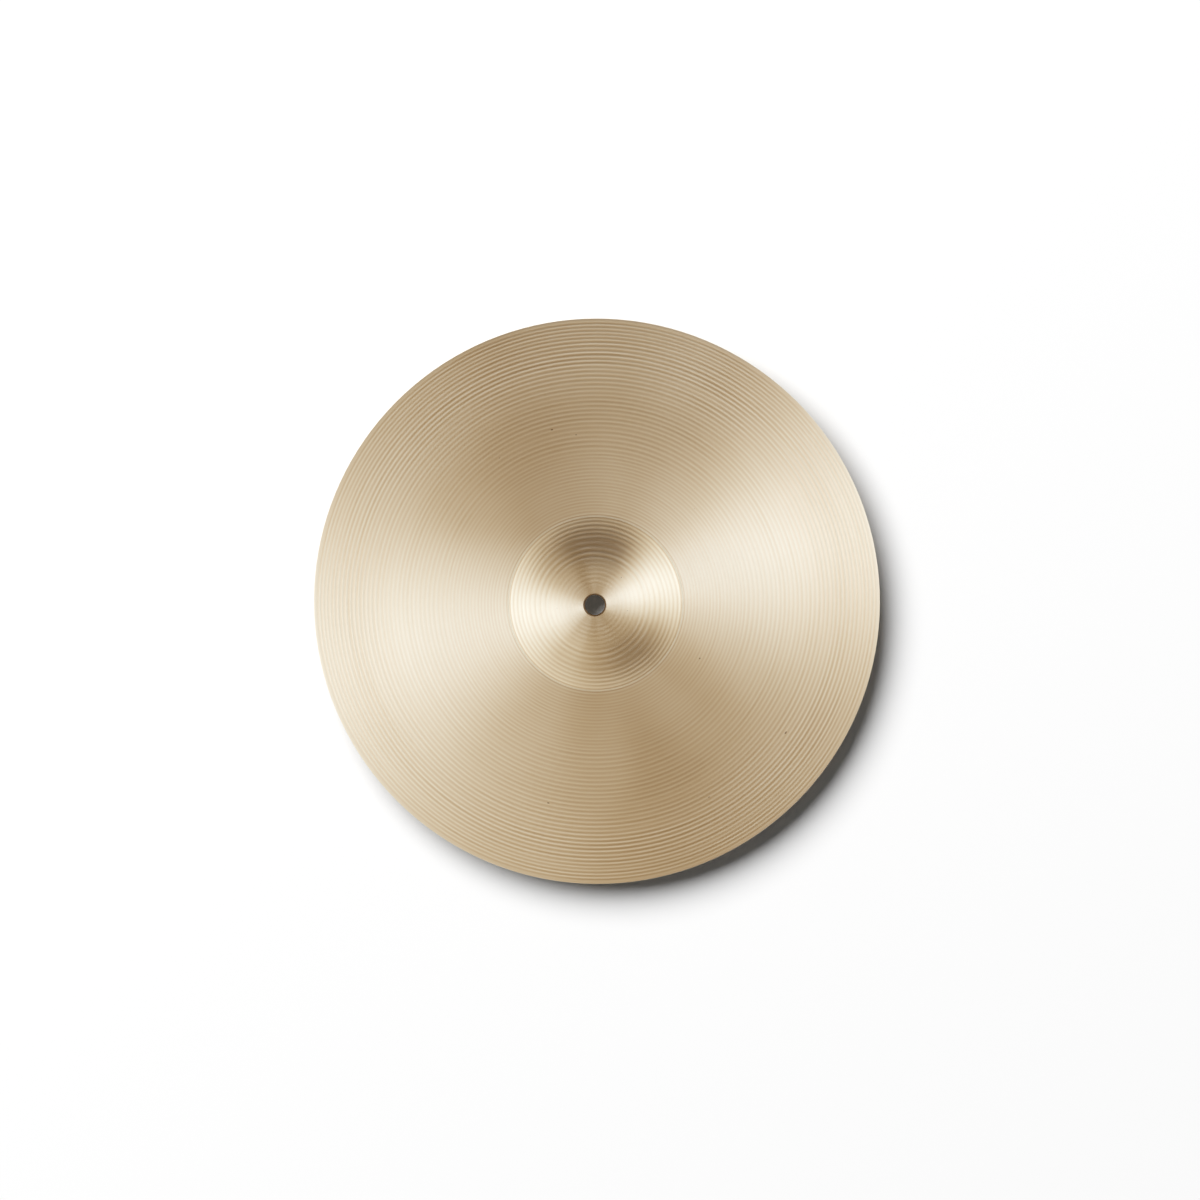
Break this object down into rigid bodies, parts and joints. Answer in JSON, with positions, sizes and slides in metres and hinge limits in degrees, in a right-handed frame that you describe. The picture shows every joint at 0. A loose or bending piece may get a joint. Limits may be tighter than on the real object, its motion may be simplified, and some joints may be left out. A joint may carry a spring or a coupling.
{
  "type": "crash cymbal",
  "caption": "Lathed bronze crash cymbal: domed cup with a centre mounting hole, shallow bow with fine turned grooves, thin rounded rim.",
  "frame": {"origin": "on the centre hole's axis, in the plane that the rim rests on", "axes": "+Z along the hole's axis, out through the top of the cup; X and Y lie in the rim's plane, and the plate looks the same whichever way they are turned"},
  "size_m": [0.3556, 0.3556, 0.0316],
  "materials": {
    "bronze": "lathed bright bronze with fine concentric grooves"
  },
  "bodies": {
    "root": {"cymbal": "bronze"}
  },
  "joints": []
}
